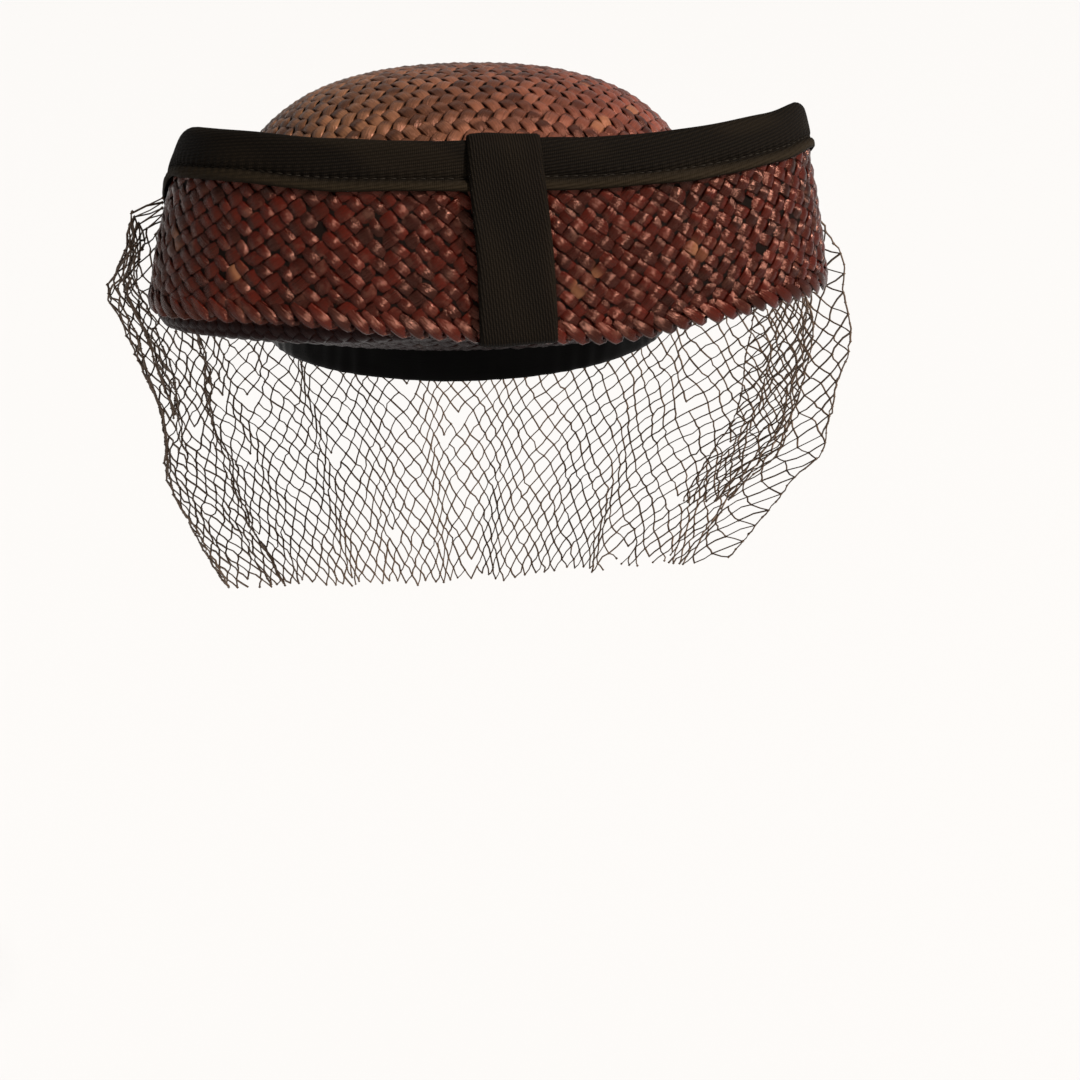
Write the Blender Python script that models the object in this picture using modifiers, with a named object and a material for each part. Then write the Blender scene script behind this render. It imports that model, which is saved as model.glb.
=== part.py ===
"""Cocktail hat: a woven straw crown whose narrow brim turns up, a tall straw cuff standing round its back,
black twill folded over the cuff's top edge, a twill tab over the middle of the back, a satin head band
and a face veil of coarse net.

Metres, +Z up. The origin is the middle of the head opening, in the plane of the crown's base.
The face side is -Y, the back with its cuff and tab is +Y, and the wearer's left is +X.
A turn is an angle round the hat: 0 at the middle of the back, 90 at the left, 180 at the front.
"""

import math

import bpy
from mathutils import Vector

# Walls, and the gap that two pieces keep where they touch
STRAW = 0.0018
TAPE_CLOTH = 0.0010
TAB_CLOTH = 0.0013
SATIN = 0.0011
NET = 0.0012
CLEARANCE = 0.0003
TAPE_SLACK = 0.00045
BAND_SLACK = 0.0009
LIP_SET_IN = STRAW + 2 * CLEARANCE

# Crown, to the middle of its wall
CROWN_WIDTH = 0.180
CROWN_LENGTH = 0.199
CROWN_HEIGHT = 0.0852
LIP_LAP = 0.0075
FOLD_RADIUS = 0.0042
FOLD_ARC = (20, 55, 90)

# Outline of the brim and the cuff's lower edge, seen from above
CUFF_LEFT = 0.1180
CUFF_RIGHT = 0.1208
WIDEST_Y = 0.067
CUFF_BACK = 0.0547
BRIM_FRONT = 0.179
CORNER_LEFT = 2.3
CORNER_RIGHT = 2.75

# Cuff
CUFF_HEIGHT = 0.0633
CUFF_RAISE = 0.0102
CUFF_END_TURN = 114
LEAN_LEFT = 0.0185
LEAN_RIGHT = 0.0160
BACK_LEAN = 0.0045
LEAN_POWER = 1.45

# Twill
TAPE_DEPTH = 0.0138
TAPE_INSIDE = 0.0140
TAPE_STAND = 0.0004
TAPE_ROLL = 0.0004
LIP_PROUD = 0.0006
TAB_WIDTH = 0.0275
TAB_WIDTH_LOW = 0.0258
TAB_TOP_X = 0.0014
TAB_LOWER_X = -0.0030
TAB_INSIDE = 0.0260
TAB_UNDER = 0.0180
TAB_UNDER_STEPS = 4
TAB_TUCK = 0.0004

# Head band
BAND_DROP = 0.0136
BAND_TILT = 0.0020
BAND_RISE = 0.0140

# Veil
VEIL_TURN = 92
VEIL_BELOW_TAPE = 0.0030
VEIL_WIDTH = 0.290
VEIL_REACH = 0.138
VEIL_SIDE_DROP = 0.118
VEIL_FRONT_DROP = 0.168
VEIL_SPREAD = 0.034
VEIL_STAND = 0.0014
VEIL_OFF_LIP = 0.00045
VEIL_SETTLE = 12
VEIL_ROUND = 0.8
VEIL_BACK_Y = 0.064
NET_BAR = 0.0034
NET_COLUMNS = 12
NET_ROWS = 4
FLUTES = 6
FLUTE_DEPTH = 0.0030

# How finely the surfaces are divided
COLUMNS = 60
CROWN_STEPS = 9
DOME_SPREAD = 1.15
CUFF_STEPS = 19
CUFF_ROWS = 6
HEM_STEPS = 4

# Crown: share of its height, shares of its half width and half length, and how far the ring's middle
# lies towards the back as a share of the half length
CROWN_ROWS = (
    (0.000, 0.905, 0.905, 0.000),
    (0.050, 0.908, 0.908, 0.000),
    (0.120, 0.944, 0.944, 0.000),
    (0.220, 0.982, 0.975, 0.000),
    (0.380, 1.000, 0.965, 0.010),
    (0.540, 0.960, 0.885, 0.035),
    (0.680, 0.875, 0.765, 0.070),
    (0.790, 0.770, 0.640, 0.105),
    (0.880, 0.640, 0.500, 0.135),
    (0.945, 0.475, 0.350, 0.160),
    (0.985, 0.270, 0.190, 0.180),
    (1.000, 0.000, 0.000, 0.190),
)

# Brim, from the crown's base to the fold: share of the way out, share of the rise
BRIM_ROWS = ((0.00, 0.00), (0.12, 0.00), (0.35, 0.16), (0.65, 0.58), (0.88, 0.92))

# Edges round the hat: turn, then the lifts of the cuff's lower edge, the cuff's top edge and the
# brim's fold over their heights at the middle of the back, as shares of the cuff's height
EDGE_ROWS = (
    (-180, 0.050, -0.520, -0.040),
    (-140, 0.070, -0.520, 0.020),
    (-114, 0.090, -0.520, 0.085),
    (-103, 0.095, -0.280, 0.105),
    (-93, 0.100, 0.030, 0.115),
    (-75, 0.100, 0.078, 0.115),
    (-50, 0.093, 0.066, 0.100),
    (-36, 0.065, 0.038, 0.075),
    (-24, 0.030, 0.013, 0.040),
    (-12, -0.025, 0.000, 0.005),
    (0, 0.000, 0.000, 0.000),
    (15, 0.050, 0.004, -0.020),
    (31, 0.100, 0.010, -0.035),
    (51, 0.100, 0.030, -0.035),
    (72, 0.070, 0.005, -0.045),
    (84, 0.058, -0.030, -0.055),
    (93, 0.050, -0.140, -0.045),
    (103, 0.055, -0.345, -0.020),
    (114, 0.055, -0.520, -0.010),
    (140, 0.050, -0.520, -0.020),
    (180, 0.050, -0.520, -0.040),
)

# Binding, across: distance out from the middle of the cuff's wall as a share of its stand-off,
# and how far down, as a share of its depth (outside) or of its inner depth (inside)
TAPE_OUTSIDE = ((1.0, 1.00), (1.0, 0.90), (0.0, 0.80), (0.15, 0.66), (0.6, 0.40), (0.7, 0.16))
TAPE_ARC = (20, 90, 160)

# Tab, down its outside: share of its lean to the right, share of the cuff's height
TAB_ROWS = ((0.00, 0.045), (0.12, 0.15), (0.36, 0.27), (0.83, 0.55), (1.00, 0.97))

# Veil, from its lowest point up: height as a share of the drop in front, then half width at the
# left and at the right, the reach to the front and the back edge's place, as shares
VEIL_ROWS = (
    (-1.00, 0.550, 0.560, 0.76, -0.16),
    (-0.82, 0.635, 0.660, 0.87, 0.02),
    (-0.66, 0.720, 0.760, 0.95, 0.20),
    (-0.52, 0.775, 0.840, 0.99, 0.38),
    (-0.40, 0.825, 0.930, 1.00, 0.52),
    (-0.24, 0.825, 0.960, 0.98, 0.66),
    (-0.09, 0.865, 0.965, 0.94, 0.80),
    (0.00, 0.890, 0.945, 0.90, 0.86),
    (0.10, 0.925, 0.910, 0.86, 0.94),
    (0.24, 0.865, 0.860, 0.84, 1.00),
    (0.34, 0.795, 0.830, 0.80, 1.02),
)


def smooth(rows, column, at):
    """A column of a table, read between its rows along a smooth curve."""
    at = min(max(at, rows[0][0]), rows[-1][0])
    i = max(k for k in range(len(rows) - 1) if rows[k][0] <= at)

    def slope(k):
        low, high = rows[max(k - 1, 0)], rows[min(k + 1, len(rows) - 1)]
        return (high[column] - low[column]) / (high[0] - low[0])

    step = rows[i + 1][0] - rows[i][0]
    t = (at - rows[i][0]) / step
    start = rows[i][column] * (2 * t**3 - 3 * t**2 + 1) + slope(i) * step * (t**3 - 2 * t**2 + t)
    end = rows[i + 1][column] * (3 * t**2 - 2 * t**3) + slope(i + 1) * step * (t**3 - t**2)
    return start + end


def ease(t):
    """0 to 1 with level ends."""
    t = min(max(t, 0.0), 1.0)
    return t * t * (3 - 2 * t)


def outline(turn, inward=0.0, lean=0.0):
    """The brim's outline from above at a turn, moved inward, and leaning as a share of the lean."""
    s, c = math.sin(math.radians(turn)), math.cos(math.radians(turn))
    side = CUFF_LEFT - LEAN_LEFT * lean if s > 0 else CUFF_RIGHT - LEAN_RIGHT * lean
    corner = 2.0 if c < 0 else CORNER_LEFT if s > 0 else CORNER_RIGHT
    reach = CUFF_BACK - BACK_LEAN * lean if c > 0 else BRIM_FRONT
    x = math.copysign(abs(s) ** (2 / corner), s) * (side - inward)
    y = WIDEST_Y + math.copysign(abs(c) ** (2 / corner), c) * (reach - inward)
    return x, y


def cuff_edges(turn):
    """Heights of the cuff's lower and top edges."""
    low = CUFF_RAISE + CUFF_HEIGHT * smooth(EDGE_ROWS, 1, turn)
    high = CUFF_RAISE + CUFF_HEIGHT * (1 + smooth(EDGE_ROWS, 2, turn))
    return low, high


def fold_height(turn):
    """Height of the middle of the brim's wall where it turns up."""
    return CUFF_RAISE + STRAW / 2 + CUFF_HEIGHT * smooth(EDGE_ROWS, 3, turn)


def lip_top(turn):
    """Height of the top of the brim's lip, which stands inside the cuff's lower edge."""
    return cuff_edges(turn)[0] + LIP_LAP


def lean_at(turn, height):
    """Share of the cuff's lean at a height."""
    return (max(height - cuff_edges(turn)[0], 0.0) / CUFF_HEIGHT) ** LEAN_POWER


def cuff_point(turn, down, out=0.0):
    """A point by the cuff: a turn, a distance down from the top edge, and out from its wall's middle."""
    low, high = cuff_edges(turn)

    def surface(at, below):
        base, top = cuff_edges(at)
        height = min(max(top - below, base), top)
        x, y = outline(at, 0.0, lean_at(at, height))
        return Vector((x, y, height))

    inside = min(max(down, 0.0), high - low)
    place = surface(turn, inside)
    along = surface(turn + 0.5, inside) - surface(turn - 0.5, inside)
    level = Vector((along.x, along.y, 0))
    rise = surface(turn, max(inside - 0.001, 0.0)) - surface(turn, min(inside + 0.001, high - low))
    rise.normalize()
    return place + rise.cross(level).normalized() * out + rise * (inside - down)


def turn_at(x):
    """The turn, near the middle of the back, at which the outline is that far to the left."""
    side, corner = (CUFF_LEFT, CORNER_LEFT) if x > 0 else (CUFF_RIGHT, CORNER_RIGHT)
    return math.copysign(math.degrees(math.asin((abs(x) / side) ** (corner / 2))), x)


def crown_point(heading, height_share, inward=0.0):
    """A point on the crown at a compass heading from the ring's middle, moved inward by a distance."""
    width = CROWN_WIDTH / 2 * smooth(CROWN_ROWS, 1, height_share)
    length = CROWN_LENGTH / 2 * smooth(CROWN_ROWS, 2, height_share)
    middle = CROWN_LENGTH / 2 * smooth(CROWN_ROWS, 3, height_share)
    s, c = math.sin(heading), math.cos(heading)
    reach = width * length / math.hypot(s * length, c * width) - inward if width else 0.0
    return Vector((reach * s, middle + reach * c, CROWN_HEIGHT * height_share))


def brim_column(turn):
    """Points from the crown's base out to the fold and up the lip, at one turn."""
    edge = Vector(outline(turn, LIP_SET_IN))
    heading = math.atan2(edge.x, edge.y)
    base = crown_point(heading, 0.0)
    fold = fold_height(turn)
    out = Vector((math.sin(heading), math.cos(heading), 0))
    width = edge.length - base.xy.length - FOLD_RADIUS
    points = [base + out * width * across + Vector((0, 0, fold * rise)) for across, rise in BRIM_ROWS]
    corners = [math.radians(angle) for angle in FOLD_ARC]
    lip = [((1 - math.sin(a)) * FOLD_RADIUS, fold + (1 - math.cos(a)) * FOLD_RADIUS) for a in corners]
    for inward, height in lip + [(0.0, lip_top(turn))]:
        beside = Vector((*outline(turn, LIP_SET_IN, lean_at(turn, height)), height))
        points.append(beside - out * inward)
    return heading, points


def brim_underside(turn, y, apart):
    """The height that keeps a distance below the middle of the brim's wall, at a place near the back."""
    _, brim = brim_column(turn)
    lowest = math.inf
    for a, b in zip(brim[: len(BRIM_ROWS) + 2], brim[1 : len(BRIM_ROWS) + 2]):
        for k in range(5):
            p = a.lerp(b, k / 4)
            if abs(p.y - y) < apart:
                lowest = min(lowest, p.z - math.sqrt(apart**2 - (p.y - y) ** 2))
    return lowest


def brim_columns():
    """Every column of the woven body, evenly spaced by turn."""
    return [brim_column(360 * k / COLUMNS - 180) for k in range(COLUMNS)]


def material(name, colour, roughness, metallic=0.0):
    """A plain finish for the solids."""
    m = bpy.data.materials.new(name)
    m.use_nodes = True
    shader = m.node_tree.nodes["Principled BSDF"]
    shader.inputs["Base Color"].default_value = (*colour, 1)
    shader.inputs["Roughness"].default_value = roughness
    shader.inputs["Metallic"].default_value = metallic
    return m


def shell(name, points, faces, finish, wall, side=0.0):
    """An object made of an open surface with a wall; side 1 puts the wall outside it, 0 on both sides."""
    mesh = bpy.data.meshes.new(name)
    mesh.from_pydata([tuple(p) for p in points], [], faces)
    mesh.validate()
    mesh.shade_smooth()
    mesh.set_sharp_from_angle(angle=math.radians(60))
    mesh.materials.append(finish)
    o = bpy.data.objects.new(name, mesh)
    bpy.data.collections["cocktail_hat"].objects.link(o)
    solid = o.modifiers.new("wall", "SOLIDIFY")
    solid.thickness = wall
    solid.offset = side
    solid.use_even_offset = True
    return o


def grid_faces(columns, rows, closed=False):
    """Quads between columns of points that are listed one column after another."""
    last = columns if closed else columns - 1
    return [
        (i * rows + j, i * rows + j + 1, (i + 1) % columns * rows + j + 1, (i + 1) % columns * rows + j)
        for i in range(last)
        for j in range(rows - 1)
    ]


def make_crown(finish):
    """The woven body: crown, narrow brim and turned-up lip, in one wall."""
    points, rows, low = [], 0, BAND_RISE / CROWN_HEIGHT
    for heading, brim in brim_columns():
        wall = []
        for k in range(1, CROWN_STEPS + 1):
            rise = max(math.cos(math.radians(90 * k / CROWN_STEPS)), 0.0) ** DOME_SPREAD
            wall.append(crown_point(heading, low + (1 - low) * rise))
        wall.append(crown_point(heading, low / 2))
        points += wall + brim
        rows = len(wall) + len(brim)
    faces = grid_faces(COLUMNS, rows, closed=True)
    points.append(crown_point(0.0, 1.0))
    tip = len(points) - 1
    faces += [(tip, k * rows, (k + 1) % COLUMNS * rows) for k in range(COLUMNS)]
    return shell("crown", points, faces, finish, STRAW)


def cuff_turns():
    """The cuff's columns from its right end to its left, which fall on the woven body's own."""
    return [CUFF_END_TURN * k / CUFF_STEPS for k in range(-CUFF_STEPS, CUFF_STEPS + 1)]


def make_cuff(finish):
    """The tall strip round the back, standing outside the brim's lip."""
    points = []
    for turn in cuff_turns():
        low, high = cuff_edges(turn)
        points += [cuff_point(turn, (high - low) * j / CUFF_ROWS) for j in range(CUFF_ROWS + 1)]
    faces = grid_faces(2 * CUFF_STEPS + 1, CUFF_ROWS + 1)
    return shell("cuff", points, faces, finish, STRAW)


def tape_section():
    """The binding across: (out, down) from its lower edge outside, over the top, to its edge inside."""
    stand = STRAW / 2 + TAPE_SLACK + TAPE_CLOTH / 2
    section = []
    for k, (proud, down) in enumerate(TAPE_OUTSIDE):
        lift = LIP_PROUD if k < 2 else TAPE_STAND
        section.append((stand + lift * proud, TAPE_DEPTH * down))
    for angle in TAPE_ARC:
        a = math.radians(angle)
        section.append(((stand + TAPE_ROLL) * math.cos(a), -(stand + TAPE_ROLL) * math.sin(a)))
    section.append((-stand, TAPE_INSIDE * 0.25))
    section.append((-stand, TAPE_INSIDE))
    return section


def make_binding(finish):
    """Twill folded over the cuff's top edge, with a stitched groove and a proud lower lip."""
    section = tape_section()
    points = [cuff_point(turn, down, out) for turn in cuff_turns() for out, down in section]
    faces = grid_faces(2 * CUFF_STEPS + 1, len(section))
    return shell("edge_binding", points, faces, finish, TAPE_CLOTH)


def tab_path(turn):
    """The tab at one turn, from its inner end: share of its lean, distance out, distance down."""
    low, high = cuff_edges(turn)
    under = high - min(fold_height(turn) - STRAW / 2, low) + 2 * CLEARANCE + TAB_CLOTH / 2
    inside = STRAW / 2 + 2 * CLEARANCE + TAPE_CLOTH + TAB_CLOTH / 2
    outside, bend = inside + LIP_PROUD, inside + 2 * CLEARANCE + TAPE_ROLL
    arc = [math.radians(angle) for angle in reversed(TAPE_ARC)]
    return [
        (0.0, -inside, TAB_INSIDE),
        (0.0, -bend, TAPE_INSIDE * 0.25),
        *[(0.0, bend * math.cos(a), -bend * math.sin(a)) for a in arc],
        *[(lean, outside, (high - low) * down) for lean, down in TAB_ROWS],
        (1.0, outside - TAB_TUCK, under - TAB_TUCK),
        (1.0, 0.0, under),
    ]


def tab_column(across):
    """The tab's points at a share of its width, over the cuff's top, down its back and under the brim."""
    points = []
    for k, (lean, _, _) in enumerate(tab_path(0.0)):
        width = TAB_WIDTH + (TAB_WIDTH_LOW - TAB_WIDTH) * lean
        turn = turn_at(TAB_TOP_X + (TAB_LOWER_X - TAB_TOP_X) * lean + width * across)
        _, out, down = tab_path(turn)[k]
        points.append(cuff_point(turn, down, out))
    start, apart = points[-1], (STRAW + TAB_CLOTH) / 2 + CLEARANCE
    for k in range(1, TAB_UNDER_STEPS + 1):
        y = start.y - TAB_UNDER * k / TAB_UNDER_STEPS
        points.append(Vector((start.x, y, min(start.z, brim_underside(turn, y, apart)))))
    return points


def make_tab(finish):
    """The twill tab over the middle of the back."""
    columns = [tab_column(k / 4 - 0.5) for k in range(5)]
    points = [p for column in columns for p in column]
    return shell("back_tab", points, grid_faces(len(columns), len(columns[0])), finish, TAB_CLOTH)


def make_band(finish):
    """The satin band inside the crown's base, hanging below it and a little deeper at the left."""
    inward = STRAW / 2 + BAND_SLACK + SATIN / 2
    points = []
    for heading, _ in brim_columns():
        drop = BAND_DROP + BAND_TILT * math.sin(heading)
        heights = (BAND_RISE, BAND_RISE / 2, 0.0, -drop)
        for height in heights:
            p = crown_point(heading, max(height, 0.0) / CROWN_HEIGHT, inward)
            points.append(Vector((p.x, p.y, height)))
    return shell("head_band", points, grid_faces(COLUMNS, len(heights), closed=True), finish, SATIN)


def veil_point(across, down):
    """A point of the veil: across from 0 at the left end to 1 at the right, down from 0 to 1."""
    turn = VEIL_TURN + (360 - 2 * VEIL_TURN) * across
    signed = turn if turn <= 180 else turn - 360
    sewn = cuff_edges(signed)[1] - TAPE_DEPTH - VEIL_BELOW_TAPE
    past = ease((abs(signed) - CUFF_END_TURN) / VEIL_SETTLE)
    top = sewn + (lip_top(signed) - sewn) * past
    on_cuff = STRAW / 2 + VEIL_STAND
    on_lip = STRAW / 2 - LIP_SET_IN + VEIL_OFF_LIP
    x, y = outline(signed, -(on_cuff + (on_lip - on_cuff) * past), lean_at(signed, top))
    front = math.sin(math.pi * across) ** VEIL_ROUND
    bottom = -(VEIL_SIDE_DROP + (VEIL_FRONT_DROP - VEIL_SIDE_DROP) * front)
    z = top + (bottom - top) * down
    share = z / VEIL_FRONT_DROP
    left, right = smooth(VEIL_ROWS, 1, share), smooth(VEIL_ROWS, 2, share)
    nearer, farther = (left, right) if across < 0.5 else (right, left)
    half = nearer + (farther - nearer) / 2 * ease(1 - abs(2 * across - 1))
    back = VEIL_BACK_Y * smooth(VEIL_ROWS, 4, share)
    reach = VEIL_REACH * smooth(VEIL_ROWS, 3, share)
    bend = math.radians(90 + 180 * across)
    away = ease((top - z) / VEIL_SPREAD)
    flute = FLUTE_DEPTH * math.sin(2 * math.pi * FLUTES * across) * away
    out = half * VEIL_WIDTH / 2 + flute
    target = Vector((math.sin(bend) * out, back + math.cos(bend) * (back + reach + flute), z))
    return Vector((x, y, z)).lerp(target, away)


def make_veil(finish):
    """A lattice of bars round diamond gaps, with half diamonds along its edges."""
    wide, tall = 2 * NET_COLUMNS, 2 * NET_ROWS
    points, index, faces = [], {}, []

    def at(i, j):
        key = (round(i, 5), round(j, 5))
        if key not in index:
            index[key] = len(points)
            points.append(veil_point(i / wide, j / tall))
        return index[key]

    for i in range(wide + 1):
        for j in range(tall + 1):
            if (i + j) % 2 == 0:
                continue
            corners = [(i, j - 1), (i + 1, j), (i, j + 1), (i - 1, j)]
            corners = [c for c in corners if 0 <= c[0] <= wide and 0 <= c[1] <= tall]
            middle = [sum(c[k] for c in corners) / len(corners) for k in (0, 1)]
            centre = veil_point(middle[0] / wide, middle[1] / tall)
            ring, widths = [], []
            for a, b in zip(corners, corners[1:] + corners[:1]):
                steps = HEM_STEPS if a[0] == b[0] or a[1] == b[1] else 1
                ring += [tuple(a[m] + (b[m] - a[m]) * k / steps for m in (0, 1)) for k in range(steps)]
                widths.append((points[at(*a)].lerp(points[at(*b)], 0.5) - centre).length)
            keep = 1 - NET_BAR / (2 * min(widths))
            hole = [tuple(middle[k] + (p[k] - middle[k]) * keep for k in (0, 1)) for p in ring]
            for k in range(len(ring)):
                faces.append((at(*ring[k - 1]), at(*ring[k]), at(*hole[k]), at(*hole[k - 1])))
    return shell("veil", points, faces, finish, NET, 1.0)


def main():
    for o in list(bpy.data.objects):
        bpy.data.objects.remove(o, do_unlink=True)
    bpy.context.scene.collection.children.link(bpy.data.collections.new("cocktail_hat"))
    straw = material("burgundy_straw", (0.085, 0.022, 0.018), 0.42)
    cuff_straw = material("burgundy_straw_cuff", (0.095, 0.022, 0.018), 0.38)
    tape = material("black_twill_tape", (0.012, 0.010, 0.007), 0.75)
    tab = material("black_twill_tab", (0.016, 0.013, 0.009), 0.75)
    satin = material("black_satin", (0.006, 0.005, 0.006), 0.35)
    net = material("brown_black_net", (0.022, 0.014, 0.009), 0.60)
    make_crown(straw)
    make_cuff(cuff_straw)
    make_binding(tape)
    make_tab(tab)
    make_band(satin)
    make_veil(net)


main()
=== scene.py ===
"""Cocktail hat seen from behind: a woven straw crown, a tall straw cuff bound in black twill, a twill tab,
a satin head band and a knotted net veil. Metres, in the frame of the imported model.
A turn is an angle round the hat: 0 at the middle of the back, 90 at the wearer's left, 180 at the front.
"""

import math

import bpy
import numpy as np
from mathutils import Matrix, Vector


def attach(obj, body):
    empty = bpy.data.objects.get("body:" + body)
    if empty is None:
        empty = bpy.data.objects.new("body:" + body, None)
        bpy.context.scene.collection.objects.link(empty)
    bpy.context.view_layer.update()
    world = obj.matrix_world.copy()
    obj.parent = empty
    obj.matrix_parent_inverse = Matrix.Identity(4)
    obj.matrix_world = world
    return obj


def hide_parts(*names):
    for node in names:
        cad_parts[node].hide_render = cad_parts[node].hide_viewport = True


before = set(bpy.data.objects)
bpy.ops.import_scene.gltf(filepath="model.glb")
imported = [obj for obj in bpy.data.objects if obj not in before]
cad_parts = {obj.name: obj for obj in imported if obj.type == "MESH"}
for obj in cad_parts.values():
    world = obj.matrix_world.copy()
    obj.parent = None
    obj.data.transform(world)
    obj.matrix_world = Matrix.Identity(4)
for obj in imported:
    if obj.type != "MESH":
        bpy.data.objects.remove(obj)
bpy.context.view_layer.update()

# The hat's sizes, as the solids have them. Only the cuff's right end is sharper here, in LEAN_RIGHT and
# in the rows -103 and -93 of EDGE_ROWS.
MM = 0.001
STRAW, TAPE_CLOTH, TAB_CLOTH, SATIN = 0.0018, 0.0010, 0.0013, 0.0011
CLEARANCE, TAPE_SLACK, BAND_SLACK = 0.0003, 0.00045, 0.0009
LIP_SET_IN = STRAW + 2 * CLEARANCE
CROWN_WIDTH, CROWN_LENGTH, CROWN_HEIGHT = 0.180, 0.199, 0.0852
LIP_LAP, FOLD_RADIUS = 0.0075, 0.0042
CUFF_LEFT, CUFF_RIGHT, WIDEST_Y, CUFF_BACK, BRIM_FRONT = 0.1180, 0.1208, 0.067, 0.0547, 0.179
CORNER_LEFT, CORNER_RIGHT = 2.3, 2.75
CUFF_HEIGHT, CUFF_RAISE, CUFF_END_TURN = 0.0633, 0.0102, 114
LEAN_LEFT, LEAN_RIGHT, BACK_LEAN, LEAN_POWER = 0.0185, 0.0135, 0.0045, 1.45
TAPE_DEPTH, TAPE_INSIDE = 0.0138, 0.0140
TAB_WIDTH, TAB_WIDTH_LOW, TAB_TOP_X, TAB_LOWER_X = 0.0275, 0.0258, 0.0014, -0.0030
TAB_INSIDE, TAB_UNDER = 0.0260, 0.0180
BAND_DROP, BAND_TILT, BAND_RISE = 0.0136, 0.0020, 0.0140
VEIL_TURN, VEIL_BELOW_TAPE, VEIL_WIDTH, VEIL_REACH = 92, 0.0030, 0.290, 0.138
VEIL_SIDE_DROP, VEIL_FRONT_DROP, VEIL_SPREAD = 0.118, 0.168, 0.034
VEIL_STAND, VEIL_OFF_LIP, VEIL_SETTLE, VEIL_ROUND, VEIL_BACK_Y = 0.0014, 0.00045, 12, 0.8, 0.064
FLOOR = -0.56

# Crown: share of its height, shares of its half width and half length, and its middle's place
CROWN_ROWS = (
    (0.000, 0.905, 0.905, 0.000),
    (0.050, 0.908, 0.908, 0.000),
    (0.120, 0.944, 0.944, 0.000),
    (0.220, 0.982, 0.975, 0.000),
    (0.380, 1.000, 0.965, 0.010),
    (0.540, 0.960, 0.885, 0.035),
    (0.680, 0.875, 0.765, 0.070),
    (0.790, 0.770, 0.640, 0.105),
    (0.880, 0.640, 0.500, 0.135),
    (0.945, 0.475, 0.350, 0.160),
    (0.985, 0.270, 0.190, 0.180),
    (1.000, 0.000, 0.000, 0.190),
)
# Brim: share of the way from the crown's base to the fold, share of the fold's height
BRIM_ROWS = ((0.00, 0.00), (0.12, 0.00), (0.35, 0.16), (0.65, 0.58), (0.88, 0.92))

# Edges round the hat: turn, lifts of the cuff's lower edge, its top edge and the brim's fold, as shares
# of the cuff's height
EDGE_ROWS = (
    (-180, 0.050, -0.520, -0.040),
    (-140, 0.070, -0.520, 0.020),
    (-114, 0.090, -0.520, 0.085),
    (-103, 0.095, -0.300, 0.105),
    (-93, 0.100, -0.050, 0.115),
    (-75, 0.100, 0.078, 0.115),
    (-50, 0.093, 0.066, 0.100),
    (-36, 0.065, 0.038, 0.075),
    (-24, 0.030, 0.013, 0.040),
    (-12, -0.025, 0.000, 0.005),
    (0, 0.000, 0.000, 0.000),
    (15, 0.050, 0.004, -0.020),
    (31, 0.100, 0.010, -0.035),
    (51, 0.100, 0.030, -0.035),
    (72, 0.070, 0.005, -0.045),
    (84, 0.058, -0.030, -0.055),
    (93, 0.050, -0.140, -0.045),
    (103, 0.055, -0.345, -0.020),
    (114, 0.055, -0.520, -0.010),
    (140, 0.050, -0.520, -0.020),
    (180, 0.050, -0.520, -0.040),
)

# Veil: share of its drop in front, shares of its half width at the left and the right, of its reach to
# the front and of how far back its ends lie
VEIL_ROWS = (
    (-1.00, 0.550, 0.560, 0.76, -0.16),
    (-0.82, 0.635, 0.660, 0.87, 0.02),
    (-0.66, 0.720, 0.760, 0.95, 0.20),
    (-0.52, 0.775, 0.840, 0.99, 0.38),
    (-0.40, 0.825, 0.930, 1.00, 0.52),
    (-0.24, 0.825, 0.960, 0.98, 0.66),
    (-0.09, 0.865, 0.965, 0.94, 0.80),
    (0.00, 0.890, 0.945, 0.90, 0.86),
    (0.10, 0.925, 0.910, 0.86, 0.94),
    (0.24, 0.865, 0.860, 0.84, 1.00),
    (0.34, 0.795, 0.830, 0.80, 1.02),
)

# The cuff's weave, along the back in metres from its middle, positive to the wearer's right:
# slope of the strands that go down to the right, and of those that go up to the right
WEAVE_ROWS = (
    (-0.230, -0.78, 0.85),
    (-0.100, -0.80, 0.80),
    (0.000, -0.84, 0.78),
    (0.050, -0.66, 1.05),
    (0.110, -0.52, 1.30),
    (0.230, -0.45, 1.25),
)
CUFF_PITCH = (0.0056, 0.0068)
DOME_CELL = (0.0026, 0.0054)
BRIM_CELLS, BRIM_CELL_DEPTH = 108, 0.0035
PER_CELL = 4  # points along a strand in each cell of the weave

# Strands: how far they go over and under each other, half widths, thickness where they go under and what
# they gain where they go over
CUFF_LIFT, CUFF_LIFT_VARIES, CUFF_LIFT_WANDERS = 0.00050, 0.00006, 0.00012
CUFF_HALF_SHARE, CUFF_HALF_GAIN, CUFF_THIN, CUFF_GAIN = 0.470, 0.035, 0.00030, 0.00036
DOME_LIFT, DOME_HALF, DOME_HALF_GAIN, DOME_SPREAD = 0.00060, 0.00224, 0.00014, 0.16
BRIM_LIFT, BRIM_HALF, BRIM_HALF_GAIN = 0.00045, 0.00238, 0.0001
CROWN_THIN, CROWN_GAIN, SHADE_SHEET_CLOTH = 0.00028, 0.00038, 0.0003

rng = np.random.default_rng(7)


# Reading the sizes

def read(rows, column, at):
    """A column of a table, read between its rows along a smooth curve."""
    rows = np.asarray(rows, float)
    x, y = rows[:, 0], rows[:, column]
    at = np.clip(at, x[0], x[-1])
    i = np.clip(np.searchsorted(x, at, side="right") - 1, 0, len(x) - 2)

    def slope(k):
        low, high = np.maximum(k - 1, 0), np.minimum(k + 1, len(x) - 1)
        return (y[high] - y[low]) / (x[high] - x[low])

    step = x[i + 1] - x[i]
    t = (at - x[i]) / step
    start = y[i] * (2 * t**3 - 3 * t**2 + 1) + slope(i) * step * (t**3 - 2 * t**2 + t)
    return start + y[i + 1] * (3 * t**2 - 2 * t**3) + slope(i + 1) * step * (t**3 - t**2)


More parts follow.
